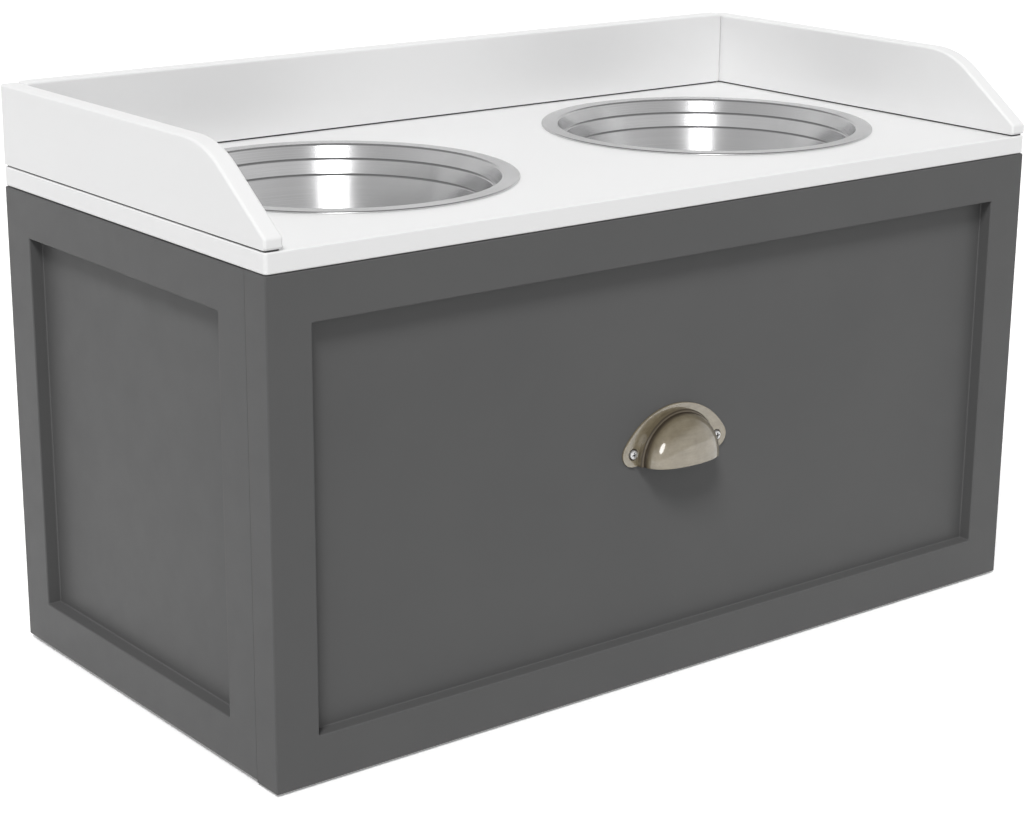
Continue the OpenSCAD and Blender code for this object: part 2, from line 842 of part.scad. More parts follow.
module carcass_dowels() {
    color(BIRCH) on_both_sides() at_carcass_dowels() dowel();
}

module drawer_cam_bolts() {
    color(ZINC) on_both_sides() at_drawer_cams() cam_bolt();
}

module drawer_cam_discs() {
    color(ZINC) on_both_sides() at_drawer_cams() cam_disc(drawer_side_t);
}

module drawer_dowels() {
    color(BIRCH) on_both_sides() at_drawer_dowels() dowel();
}

module glides() {
    color("black") on_both_sides() at_glides() glide();
}

side_panel(-1);  // left_side_panel
side_stile(-1, carcass_y, side_front_strip_w);  // left_front_stile
side_stile(-1, back_y - strip_w, strip_w);  // left_rear_stile
side_rail(-1, top_z - strip_w);  // left_top_rail
side_rail(-1, side_z);  // left_bottom_rail
side_panel(1);  // right_side_panel
side_stile(1, carcass_y, side_front_strip_w);  // right_front_stile
side_stile(1, back_y - strip_w, strip_w);  // right_rear_stile
side_rail(1, top_z - strip_w);  // right_top_rail
side_rail(1, side_z);  // right_bottom_rail
bottom_panel();
back_panel();
front_stretcher();
back_stretcher();
top_board();
side_guard(-1);  // left_guard
side_guard(1);  // right_guard
back_guard();
bowl(-1);  // left_bowl
bowl(1);  // right_bowl
drawer_front_panel();
drawer_stile(-1);  // drawer_left_stile
drawer_stile(1);  // drawer_right_stile
drawer_rail(front_top - strip_w);  // drawer_top_rail
drawer_rail(front_z);  // drawer_bottom_rail
drawer_side(-1);  // drawer_left_side
drawer_side(1);  // drawer_right_side
drawer_back();
drawer_bottom();
cup_pull();
pull_screws();
cabinet_runner(-1);  // left_cabinet_runner
cabinet_runner(1);  // right_cabinet_runner
drawer_runner(-1);  // left_drawer_runner
drawer_runner(1);  // right_drawer_runner
on_side(-1) at_cabinet_roller() roller();  // left_cabinet_roller
on_side(1) at_cabinet_roller() roller();  // right_cabinet_roller
on_side(-1) at_drawer_roller() roller();  // left_drawer_roller
on_side(1) at_drawer_roller() roller();  // right_drawer_roller
cabinet_rivets();
drawer_rivets();
cabinet_runner_screws();
drawer_runner_screws();
guard_screws();
stretcher_screws();
carcass_cam_bolts();
carcass_cam_discs();
carcass_dowels();
drawer_cam_bolts();
drawer_cam_discs();
drawer_dowels();
drawer_back_screws();
drawer_bumpers();
glides();
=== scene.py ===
"""Elevated dog feeder with storage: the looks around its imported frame.

The script follows the cabinet as it is put together: the picture that is taken of it, its sides,
the shell between them, the board with its guards and bowls, and last the drawer with its front,
pull, box and runners. All lengths are in metres: X runs to the right, Y to the back, Z up.
"""
import bmesh
import bpy
import numpy as np
from mathutils import Matrix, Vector
from mathutils.geometry import tessellate_polygon


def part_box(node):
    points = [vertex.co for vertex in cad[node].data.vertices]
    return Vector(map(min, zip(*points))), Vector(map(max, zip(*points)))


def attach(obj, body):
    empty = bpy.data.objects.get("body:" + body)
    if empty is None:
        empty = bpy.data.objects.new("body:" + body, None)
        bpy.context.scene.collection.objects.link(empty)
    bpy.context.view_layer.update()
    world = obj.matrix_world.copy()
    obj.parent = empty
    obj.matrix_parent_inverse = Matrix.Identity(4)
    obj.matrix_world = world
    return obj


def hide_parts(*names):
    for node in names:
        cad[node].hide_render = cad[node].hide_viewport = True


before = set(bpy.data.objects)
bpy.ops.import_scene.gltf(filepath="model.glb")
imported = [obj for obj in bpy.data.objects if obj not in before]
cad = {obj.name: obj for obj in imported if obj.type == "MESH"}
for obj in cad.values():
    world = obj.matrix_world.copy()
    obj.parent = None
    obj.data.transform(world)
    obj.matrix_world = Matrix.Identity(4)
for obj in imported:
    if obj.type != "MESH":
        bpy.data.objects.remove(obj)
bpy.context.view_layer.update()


# The picture
# The cabinet stands on a pale sweep of paper in a small studio, seen from the front left and from
# a little above. A soft lamp hangs high at the front left and a weaker one behind, a near one only
# shows in what is polished, and the walls are lit pale below a dark ceiling.
LENS, FILM = 84.032, 36.0                          # in millimetres
eye = np.array([-0.94972, -1.18668, 0.59465])
heading, tilt, lean = -0.66353, 0.29533, 0.00704   # in radians: to the right, down, and over
ahead = np.array([-np.sin(heading) * np.cos(tilt), np.cos(heading) * np.cos(tilt), -np.sin(tilt)])
level = np.array([np.cos(heading), np.sin(heading), 0.0])
above = np.cross(level, ahead)
right = np.cos(lean) * level + np.sin(lean) * above
upward = np.cos(lean) * above - np.sin(lean) * level

camera = bpy.data.objects.new("camera", bpy.data.cameras.new("camera"))
camera.data.lens = LENS
camera.data.sensor_width = FILM
camera.data.clip_start = 0.02
camera.matrix_world = Matrix(np.block([[np.stack([right, upward, -ahead], 1), eye[:, None]],
                                       [np.zeros((1, 3)), np.ones((1, 1))]]).tolist())
bpy.context.scene.collection.objects.link(camera)
bpy.context.scene.camera = camera
bpy.context.scene.view_settings.view_transform = "Standard"


def add(tree, kind, feeds=None, **settings):
    """Adds one shader node. A feed is a value for a socket, or another node's output to lead there."""
    made = tree.nodes.new(kind)
    for word, choice in settings.items():
        setattr(made, word, choice)
    for socket, feed in (feeds or {}).items():
        if isinstance(feed, bpy.types.NodeSocket):
            tree.links.new(feed, made.inputs[socket])
        else:
            made.inputs[socket].default_value = feed
    return made


def studio_light(name, kind, place, aim, size, power):
    """A lamp at a place, turned so that its middle faces the point that it is aimed at. A far one
    has an angle in degrees for its size. It lights the boards, and polished metal doesn't show it.
    A near one is an ellipse with a width and a height, and it only shows in what is polished."""
    lamp = bpy.data.lights.new(name, kind)
    lamp.energy = power
    if kind == "SUN":
        lamp.angle = np.radians(size)
    else:
        lamp.shape = "ELLIPSE"
        lamp.size, lamp.size_y = size
    back = np.subtract(place, aim) / np.linalg.norm(np.subtract(place, aim))
    side = np.cross([0.0, 0.0, 1.0], back)
    side /= np.linalg.norm(side)
    holder = bpy.data.objects.new(name, lamp)
    holder.matrix_world = Matrix(np.block([
        [np.stack([side, np.cross(back, side), back], 1), np.array(place)[:, None]],
        [np.zeros((1, 3)), np.ones((1, 1))]]).tolist())
    holder.visible_glossy = kind != "SUN"
    holder.visible_diffuse = kind == "SUN"
    bpy.context.scene.collection.objects.link(holder)


studio_light("soft_box_left", "SUN", (-1.26, -1.16, 2.4), (0.0, 0.0, 0.2), 17.0, 2.5)
studio_light("soft_box_back", "SUN", (1.3, 1.9, 2.1), (0.0, 0.0, 0.3), 40.0, 0.75)
studio_light("reading_lamp", "AREA", (-1.30, -1.84, 1.02), (0.0, -0.14, 0.2), (0.8, 0.9), 11.0)

room = bpy.data.worlds.new("studio_room")
room.use_nodes = True
room_tree = room.node_tree
room_tree.nodes.clear()
way_up = add(room_tree, "ShaderNodeSeparateXYZ", {
    0: add(room_tree, "ShaderNodeTexCoord").outputs["Generated"]}).outputs["Z"]


def room_tone(start, end, low, high):
    """A tone that goes softly from low to high while the way up goes from start to end. The way up
    is the sine of the angle over the horizon."""
    return add(room_tree, "ShaderNodeMapRange", {
        "Value": way_up, "From Min": start, "From Max": end, "To Min": low, "To Max": high},
        interpolation_type="SMOOTHSTEP").outputs["Result"]


walls = room_tone(0.18, 0.60, 0.85, 0.30)
ground = room_tone(-0.35, -0.12, 0.70, 1.0)
tone = add(room_tree, "ShaderNodeMath", {0: walls, 1: ground}, operation="MULTIPLY").outputs["Value"]
glow = add(room_tree, "ShaderNodeBackground", {"Color": (1.0, 1.0, 1.0, 1.0), "Strength": tone})
add(room_tree, "ShaderNodeOutputWorld", {"Surface": glow.outputs["Background"]})
bpy.context.scene.world = room


def new_finish(name, color, roughness, metallic=0.0):
    """A new material with one shader: returns the material, its tree and the shader, and a place to
    read a pattern from, which is the object's own coordinates in metres. Where a pattern leads to
    the colour or the roughness, the plain value is only its mean, for a view without patterns."""
    material = bpy.data.materials.new(name)
    material.use_nodes = True
    tree = material.node_tree
    shader = tree.nodes["Principled BSDF"]
    shader.inputs["Base Color"].default_value = (*color, 1.0)
    shader.inputs["Roughness"].default_value = roughness
    shader.inputs["Metallic"].default_value = metallic
    return material, tree, shader, add(tree, "ShaderNodeTexCoord").outputs["Object"]


def grain(tree, place, scale, detail=3.0, stretch=(1.0, 1.0, 1.0)):
    """Cloudy noise in 3D, from 0 to 1, with a scale in lumps per metre and a stretch for each axis."""
    sized = add(tree, "ShaderNodeMapping", {"Vector": place, "Scale": stretch}).outputs["Vector"]
    return add(tree, "ShaderNodeTexNoise", {
        "Vector": sized, "Scale": scale, "Detail": detail, "Roughness": 0.55}).outputs["Fac"]


def tint(tree, amount, dark, light):
    """A colour between a dark one and a light one."""
    return add(tree, "ShaderNodeMix", {
        "Factor": amount, "A": (*dark, 1.0), "B": (*light, 1.0)}, data_type="RGBA").outputs[2]


def relief(tree, shader, height, depth):
    """A bump of a depth in metres, laid on the shader."""
    bump = add(tree, "ShaderNodeBump", {"Height": height, "Distance": depth, "Strength": 1.0})
    tree.links.new(bump.outputs["Normal"], shader.inputs["Normal"])


def put(mesh_name, points, faces, normals=None):
    """A mesh of points and faces, as an object at the origin. Normals are one for each corner of
    each face, in the order of the faces, and without them the faces are only shaded smooth."""
    mesh = bpy.data.meshes.new(mesh_name)
    mesh.from_pydata(np.asarray(points).tolist(), [], faces)
    mesh.polygons.foreach_set("use_smooth", np.ones(len(mesh.polygons), bool))
    if normals is not None:
        mesh.normals_split_custom_set(np.asarray(normals).tolist())
    piece = bpy.data.objects.new(mesh_name, mesh)
    bpy.context.scene.collection.objects.link(piece)
    return piece


def full_turn(count):
    """Angles evenly round a full turn, with the first not repeated at the end."""
    return np.linspace(0, 2 * np.pi, count + 1)[:-1]


def grid_faces(rows, columns, around=True):
    """The four corners of each field of a grid whose points are numbered row by row. With around,
    the last column joins the first."""
    row = np.arange(rows - 1)[:, None] * columns
    here = np.arange(columns if around else columns - 1)[None, :]
    after = (here + 1) % columns
    return np.stack([row + here, row + after, row + columns + after, row + columns + here],
                    -1).reshape(-1, 4)


paper, tree, shader, place = new_finish("pale_paper", (0.95, 0.95, 0.95), 0.7)
tree.links.new(tint(tree, grain(tree, place, 3.0), (0.945, 0.945, 0.945), (0.955, 0.955, 0.955)),
               shader.inputs["Base Color"])
relief(tree, shader, grain(tree, place, 350.0), 0.00005)
shader.inputs["Specular IOR Level"].default_value = 0.1
shader.inputs["Emission Color"].default_value = (1.0, 1.0, 1.0, 1.0)
shader.inputs["Emission Strength"].default_value = 0.2

# the sweep: flat rings of points round the cabinet, each further out than the last by a ratio
RINGS, SPOKES, INNERMOST, RATIO = 20, 96, 0.02, 1.35
ring, turn = np.meshgrid(INNERMOST * RATIO ** np.arange(RINGS), full_turn(SPOKES), indexing="ij")
rings = np.stack([ring * np.cos(turn), ring * np.sin(turn), 0 * ring], -1).reshape(-1, 3)
floor = put("floor", rings,
            grid_faces(RINGS, SPOKES)[:, ::-1].tolist() + [list(range(SPOKES))])
floor.data.materials.append(paper)
floor.visible_diffuse = False      # the boards' lower light is the room's, not the bright sweep's


# The cabinet's sides
# Each side is a panel of painted fibreboard with four strips glued round its outside, two stiles
# and two rails. The strips are filled and sprayed with the panel, so they read as one frame round
# a sunken field, with all its outer edges eased by sandpaper.


def cut_out(corners, radii, steps=5):
    """A closed outline from its corners, each rounded by its own radius. The way out turns evenly
    from square to the side that comes in, to square to the side that goes on, and a point is the
    round's centre plus that way times the radius, or minus it where the outline turns right.
    Outlines run anticlockwise, and the outlines of holes clockwise, so the board lies to the left."""
    corners = np.array(corners, float)
    radii = np.broadcast_to(radii, len(corners)).astype(float)[:, None]
    coming = corners - np.roll(corners, 1, 0)
    coming /= np.linalg.norm(coming, axis=1)[:, None]
    going = np.roll(coming, -1, 0)
    bend = np.arctan2(coming[:, 0] * going[:, 1] - coming[:, 1] * going[:, 0],
                      (coming * going).sum(1))[:, None]
    left = np.stack([-coming[:, 1], coming[:, 0]], 1)
    middle = corners - coming * radii * np.tan(abs(bend) / 2) + left * radii * np.sign(bend)
    angle = np.arctan2(-left[:, 1], -left[:, 0])[:, None] + bend * np.linspace(0, 1, steps + 1)
    out = np.stack([np.cos(angle), np.sin(angle)], -1)
    points = middle[:, None] + out * (radii * np.sign(bend))[:, None]
    return points.reshape(-1, 2), out.reshape(-1, 2)


def oblong(low, high, radius, hole=False):
    """A rectangle between two corners, with small rounds, as an outline or as a hole."""
    corners = [low, (high[0], low[1]), high, (low[0], high[1])]
    return cut_out(corners[::-1] if hole else corners, radius)


AXES = {"x": (1, 2, 0), "y": (2, 0, 1), "z": (0, 1, 2)}   # across, along, and through the board
NO_AREA = 1e-14                                           # of a face that is only a line


def eased_board(name, loops, axis, low, high, ease_low, ease_high, steps=4):
    """A board cut to outlines and carried from low to high along an axis. Near a face each outline
    is drawn in along a quarter circle: at an angle a it is drawn in by ease * (1 - sin a) at a
    height of ease * (1 - cos a) over the face. The faces themselves are flat. An outline may bring
    a third row of numbers, the share of the draw that each of its points takes."""
    quarter = np.linspace(0, np.pi / 2, steps + 1)
    low_turn = quarter if ease_low else quarter[-1:]
    high_turn = quarter[::-1] if ease_high else quarter[-1:]
    draw = np.r_[ease_low * (1 - np.sin(low_turn)), ease_high * (1 - np.sin(high_turn))]
    depth = np.r_[low + ease_low * (1 - np.cos(low_turn)), high - ease_high * (1 - np.cos(high_turn))]
    side_share = np.r_[np.sin(low_turn), np.sin(high_turn)]
    face_share = np.r_[-np.cos(low_turn), np.cos(high_turn)]
    across, along, through = AXES[axis]
    rows = len(draw)
    points, ways, faces, first = [], [], [], 0
    for outline, out, *shares in loops:
        share = (shares[0] if shares else np.ones(len(outline)))[None, :, None]
        shape = (rows, len(outline), 3)
        point, way = np.zeros(shape), np.zeros(shape)
        point[..., [across, along]] = outline[None] - draw[:, None, None] * share * out[None]
        point[..., through] = depth[:, None]
        way[..., [across, along]] = side_share[:, None, None] * out[None]
        way[..., through] = face_share[:, None] * share[..., 0]
        way /= np.linalg.norm(way, axis=-1, keepdims=True)
        points.append(point.reshape(-1, 3))
        ways.append(way.reshape(-1, 3))
        faces.append(grid_faces(rows, len(outline)) + first)
        first += rows * len(outline)
    points, ways, faces = np.concatenate(points), np.concatenate(ways), np.concatenate(faces)
    normals = ways[faces].reshape(-1, 3)
    sizes = [len(loop[0]) for loop in loops]
    starts = np.cumsum([0] + [rows * size for size in sizes])[:-1]
    flat = []
    for row, sign in ((0, -1.0), (rows - 1, 1.0)):
        rims = [start + row * size + np.arange(size) for start, size in zip(starts, sizes)]
        numbers = np.concatenate(rims)
        rims = [np.c_[points[rim][:, [across, along]], np.zeros(len(rim))].tolist() for rim in rims]
        threes = numbers[np.array(tessellate_polygon(rims))]
        spot = points[threes][..., [across, along]]
        one, two = spot[:, 1] - spot[:, 0], spot[:, 2] - spot[:, 0]
        area = one[:, 0] * two[:, 1] - one[:, 1] * two[:, 0]
        threes = np.where((area * sign > 0)[:, None], threes, threes[:, ::-1])
        flat.append(threes[abs(area) > NO_AREA])
        facing = np.zeros((len(flat[-1]) * 3, 3))
        facing[:, through] = sign
        normals = np.concatenate([normals, facing])
    return put(name, points, faces.tolist() + np.concatenate(flat).tolist(), normals)


def reach(*nodes):
    """The lowest and the highest corner of some of the frame's nodes together."""
    boxes = [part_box(node) for node in nodes]
    return np.min([b[0] for b in boxes], 0), np.max([b[1] for b in boxes], 0)


def dress(finish, *nodes):
    """Gives a finish to nodes of the frame that stay as they are."""
    for node in nodes:
        cad[node].material_slots[0].material = finish


def settle(piece, finish, slot, body, *nodes):
    """Gives a piece its finish and its body, and puts it in the place of nodes of the frame."""
    piece.data.materials.append(finish)
    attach(piece, body)
    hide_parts(*nodes)


def span(tree, value, low, high, start=0.3, end=0.7):
    """A value moved from the range start...end to the range low...high, and held at both ends."""
    return add(tree, "ShaderNodeMapRange", {
        "Value": value, "From Min": start, "From Max": end,
        "To Min": low, "To Max": high}).outputs["Result"]


# Satin grey paint: a faint cloudiness from the spray passes, and the fine pebbling of paint that
# has dried on sanded board, about a millimetre from bump to bump.
grey_paint, tree, shader, place = new_finish("grey_paint", (0.096, 0.096, 0.096), 0.42)
clouds = span(tree, grain(tree, place, 9.0, 4.0), 0.0, 1.0)
tree.links.new(tint(tree, clouds, (0.0930, 0.0930, 0.0935), (0.0990, 0.0990, 0.0990)),
               shader.inputs["Base Color"])
tree.links.new(span(tree, grain(tree, place, 60.0, 5.0), 0.38, 0.47), shader.inputs["Roughness"])
relief(tree, shader, grain(tree, place, 900.0, 2.0), 0.00001)
shader.inputs["Specular IOR Level"].default_value = 0.16

BOARD_EASE = 0.0009      # sanded edge of the painted boards
SHADOW_GAP = 0.0006      # dark line between two boards that are fixed one on the other


def with_sharp_edge(loop, axis, left_over):
    """An outline whose edge at the low end of an axis takes less of the ease: the share falls from
    1 to what is left over, as the way out turns to that end."""
    outline, out = loop
    return outline, out, 1 - (1 - left_over) * np.clip(-out[:, axis], 0, 1)


def corner_bead(name, hole, axis, face, side, radius, steps=5):
    """The paint that gathers in the corner between the walls of a sunken field and its panel. Its
    section is a hollow quarter circle: at an angle a it stands radius * (1 - cos a) off the wall and
    radius * (1 - sin a) over the panel. A last row just behind the corner closes it."""
    outline, out = hole
    behind, inward = 0.0002, -0.7
    angle = np.linspace(0, np.pi / 2, steps + 1)
    off_wall = np.r_[radius * (1 - np.cos(angle)), -behind]
    over_panel = np.r_[radius * (1 - np.sin(angle)), -behind]
    lean_out, lean_up = np.r_[np.cos(angle), inward], np.r_[np.sin(angle), inward]
    across, along, through = AXES[axis]
    shape = (steps + 2, len(outline), 3)
    point, way = np.zeros(shape), np.zeros(shape)
    point[..., [across, along]] = outline[None] + off_wall[:, None, None] * out[None]
    point[..., through] = (face + side * over_panel)[:, None]
    way[..., [across, along]] = lean_out[:, None, None] * out[None]
    way[..., through] = side * lean_up[:, None]
    faces = grid_faces(steps + 2, len(outline))
    last, here = (steps + 1) * len(outline), np.arange(len(outline))
    after = (here + 1) % len(outline)
    faces = np.concatenate([faces, np.stack([last + here, last + after, after, here], 1)])
    if side > 0:
        faces = faces[:, ::-1]
    return put(name, point.reshape(-1, 3), faces.tolist(), way.reshape(-1, 3)[faces].reshape(-1, 3))


FIELD_R = 0.0009         # corners of the sunken fields
BEAD_R = 0.0008          # paint gathered round their foot
SEAM_PLAY = 0.00015      # seen between the sides and the closed drawer front
SEAM_EASE = 0.00015      # edges of both at that seam

for side in ("left", "right"):
    strips = [f"{side}_{part}" for part in ("front_stile", "rear_stile", "top_rail", "bottom_rail")]
    outer_low, outer_high = reach(*strips)
    outer_high[2] -= SHADOW_GAP      # the strips stop just short of the top board
    outer_low[1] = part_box("drawer_front_panel")[1][1] + SEAM_PLAY   # and of the drawer front
    field_low = (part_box(strips[0])[1][1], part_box(strips[3])[1][2])
    field_high = (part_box(strips[1])[0][1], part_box(strips[2])[0][2])
    field = oblong(field_low, field_high, FIELD_R, hole=True)
    outer = with_sharp_edge(oblong(outer_low[1:], outer_high[1:], BOARD_EASE), 0,
                            SEAM_EASE / BOARD_EASE)
    outwards = -1 if side == "left" else 1
    eases = (BOARD_EASE, 0.0) if side == "left" else (0.0, BOARD_EASE)
    side_frame = eased_board(f"{side}_side_frame", [outer, field], "x", outer_low[0],
                             outer_high[0], *eases)
    panel_face = outer_high[0] if side == "left" else outer_low[0]
    bead = corner_bead(f"{side}_side_bead", field, "x", panel_face, outwards, BEAD_R)
    for piece in (side_frame, bead):
        settle(piece, grey_paint, "grey_paint", "cabinet", *strips)
    dress(grey_paint, f"{side}_side_panel")


# The shell between the two sides
# The bottom is a painted board between the sides, and the back a thin painted board in grooves.
# Two stretchers of bare softwood hold the sides apart. Dowels and cam bolts join them all, with
# the round cam discs that are turned by a screwdriver from inside the cabinet.
dress(grey_paint, "bottom_panel", "back_panel")

# Sanded softwood: long growth lines along the board, a darker late band in each, and fine pores.
bare_wood, tree, shader, place = new_finish("bare_wood", (0.55, 0.40, 0.25), 0.6)
bands = grain(tree, place, 60.0, 3.0, (0.03, 1.0, 1.0))
pores = grain(tree, place, 500.0, 4.0, (0.02, 1.0, 1.0))
both = add(tree, "ShaderNodeMath", {0: pores, 1: 0.35, 2: bands},
           operation="MULTIPLY_ADD").outputs["Value"]
tree.links.new(tint(tree, span(tree, both, 0.0, 1.0, 0.5, 0.85), (0.44, 0.29, 0.16),
                    (0.62, 0.47, 0.30)), shader.inputs["Base Color"])
tree.links.new(span(tree, pores, 0.5, 0.72), shader.inputs["Roughness"])
relief(tree, shader, both, 0.00008)
dress(bare_wood, "front_stretcher", "back_stretcher", "carcass_dowels", "drawer_dowels")

# Bright zinc plate: small crystals, each a little lighter or darker than the next.
zinc_steel, tree, shader, place = new_finish("zinc_steel", (0.6, 0.61, 0.63), 0.32, 1.0)
crystals = add(tree, "ShaderNodeTexVoronoi", {"Vector": place, "Scale": 900.0}).outputs["Color"]
tree.links.new(tint(tree, crystals, (0.52, 0.53, 0.56), (0.66, 0.67, 0.68)),
               shader.inputs["Base Color"])
tree.links.new(span(tree, grain(tree, place, 700.0), 0.24, 0.42), shader.inputs["Roughness"])
dress(zinc_steel, "carcass_cam_bolts", "carcass_cam_discs", "guard_screws", "stretcher_screws",
      "drawer_cam_bolts", "drawer_cam_discs", "drawer_back_screws")

# Four moulded glides of black plastic keep the boards off the floor.
glide_plastic, tree, shader, place = new_finish("glide_plastic", (0.03, 0.03, 0.03), 0.5)
tree.links.new(tint(tree, grain(tree, place, 120.0), (0.025, 0.025, 0.025), (0.036, 0.036, 0.037)),
               shader.inputs["Base Color"])
relief(tree, shader, grain(tree, place, 1800.0, 1.0), 0.00003)
dress(glide_plastic, "glides")


# The top board
# One board of white lacquered fibreboard covers the cabinet, fixed from below by cam bolts. A
# round opening for each bowl is cut through it, with an eased edge like the outside.

# Satin lacquer: sprayed thick and even, with a faint roll of its surface.
white_lacquer, tree, shader, place = new_finish("white_lacquer", (0.79, 0.79, 0.79), 0.3)
tree.links.new(tint(tree, grain(tree, place, 6.0, 1.0), (0.783, 0.783, 0.785),
                    (0.793, 0.793, 0.793)), shader.inputs["Base Color"])
relief(tree, shader, grain(tree, place, 80.0, 0.0), 0.00002)

LACQUER_EASE = 0.0010    # rounded edge of the lacquered boards
CORNER_R = 0.0025        # upright corners of the top board
BOWL_X, BOWL_Y = 0.152, 0.00975   # middle of the right bowl, and the left one is as far left
OPENING_R = 0.1035


def arc(centre, radius, start, end, steps=8):
    """A part of an outline: the centre plus the radius times the cosine and the sine of an angle,
    which goes from one to another in degrees, with the ways that lead out of the board. An arc that
    turns left bulges out, and one that turns right hollows the board, so its ways lead inwards."""
    angle = np.radians(np.linspace(start, end, steps + 1))
    ray = np.stack([np.cos(angle), np.sin(angle)], 1)
    return np.add(centre, radius * ray), ray if end > start else -ray


def circle(centre, radius, count, hole=False):
    """A full round outline of a number of points, anticlockwise, or clockwise for a hole."""
    gap = 360.0 / count
    return arc(centre, radius, *((360.0, gap) if hole else (0.0, 360.0 - gap)), count - 1)


board_low, board_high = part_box("top_board")
openings = [circle((x, BOWL_Y), OPENING_R, 120, hole=True) for x in (-BOWL_X, BOWL_X)]
top_board = eased_board("lacquered_board",
                        [oblong(board_low[:2], board_high[:2], CORNER_R), *openings],
                        "z", board_low[2], board_high[2], LACQUER_EASE, LACQUER_EASE)
settle(top_board, white_lacquer, "white_lacquer", "cabinet", "top_board")


# The guards
# Three low boards of the same make stand on the top board's edges, the back one between the side
# ones, which fall in a long round to a low nose. They are screwed on from below over a thin black
# strip, which lies in from their rounded edges. The strip is painted shade: it darkens the real gap
# under each guard, so the gap shows as a dark line along their foot.
GUARD_EASE = 0.0018
NOSE_H, NOSE_R = 0.0075, 0.0026
SLOPE, BEND_R = np.radians(36.0), 0.062
FOOT_EASE = 0.2          # share of the ease that is left along the foot
STRIP_IN = 0.0016        # how far the strip under a guard lies in from its faces
STRIP_T, STRIP_R = 0.0009, 0.001
STRIP_UP = 0.0003        # how far it is pressed into the guard


def guard_shade_strip(side):
    """The flat black strip under a guard, drawn in from the guard's foot on all sides. It is painted
    shade, which darkens the gap along the foot.
    """
    low, high = reach(f"{side}_guard")
    strip = eased_board(f"{side}_guard_shade_strip", [oblong(low[:2] + STRIP_IN, high[:2] - STRIP_IN,
                                                      STRIP_R)],
                        "z", low[2], low[2] + STRIP_T + STRIP_UP, 0.0, 0.0)
    settle(strip, glide_plastic, "glide_plastic", "cabinet", f"{side}_guard")


for side in ("left", "right"):
    (x0, front, foot), (x1, back, head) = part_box(f"{side}_guard")
    bend_y = front + (head - foot - NOSE_H) / np.tan(SLOPE)   # where the slope would meet the top
    raised = foot + STRIP_T
    shape = cut_out([(front, raised), (back, raised), (back, head), (bend_y, head),
                     (front, foot + NOSE_H)],
                    [GUARD_EASE, GUARD_EASE, GUARD_EASE, BEND_R, NOSE_R], steps=12)
    guard = eased_board(f"{side}_side_guard", [with_sharp_edge(shape, 1, FOOT_EASE)], "x", x0, x1,
                        GUARD_EASE, GUARD_EASE)
    settle(guard, white_lacquer, "white_lacquer", "cabinet", f"{side}_guard")
    guard_shade_strip(side)

guard_low, guard_high = reach("back_guard")
shape = oblong((guard_low[2] + STRIP_T, guard_low[0]), (guard_high[2], guard_high[0]), GUARD_EASE)
guard = eased_board("back_edge_guard", [with_sharp_edge(shape, 0, FOOT_EASE)], "y", guard_low[1],
                    guard_high[1], GUARD_EASE, GUARD_EASE)
settle(guard, white_lacquer, "white_lacquer", "cabinet", "back_guard")
guard_shade_strip("back")


# The bowls
# Each bowl is drawn from one sheet of stainless steel, 0.8 mm thick: a flat rim that rests on the
# board and curls down at its outer edge, a slanted wall with two ring steps, and a round foot to
# a flat floor. It is spun and polished, and just drops into its opening.


def bent_sheet(corners, radii, thickness, steps=10):
    """The section of a bent sheet, from the corners of its middle line and the radius of each bend:
    the line's points are moved by half the thickness to one side on the way out, round the free end
    in a half circle, and back along the other side. Returns the section and the ways out of it."""
    first, last = np.array(corners[0]), np.array(corners[-1])
    beyond = [last + [1.0, -1.0], first + [1.0, -1.0]]   # only closes the line to a loop
    sharp = 1e-5
    line, out = cut_out([*corners, *beyond], [sharp, *radii, sharp, sharp, sharp], steps)
    bends = slice(steps + 1, (len(corners) - 1) * (steps + 1))
    line = np.concatenate([first[None], line[bends], last[None]])
    out = out[bends]
    out = np.concatenate([out[:1], out, out[-1:]])
    half = thickness / 2
    onward = np.array([-out[-1, 1], out[-1, 0]])
    turn = np.linspace(0, np.pi, steps + 1)[1:-1, None]
    cap = np.cos(turn) * out[-1] + np.sin(turn) * onward
    section = np.concatenate([line + half * out, last + half * cap, (line - half * out)[::-1]])
    return section, np.concatenate([out, cap, -out[::-1]])


def capped_grid(rows, columns):
    """The faces of a grid that goes round, and the fans of triangles that close it at two poles.
    The poles are numbered after the grid's points: the first row's, and then the last row's."""
    here = np.arange(columns)
    after = (here + 1) % columns
    low, high = rows * columns, (rows - 1) * columns
    return (grid_faces(rows, columns), np.stack([np.full(columns, low), after, here], 1),
            np.stack([high + here, high + after, np.full(columns, low + 1)], 1))


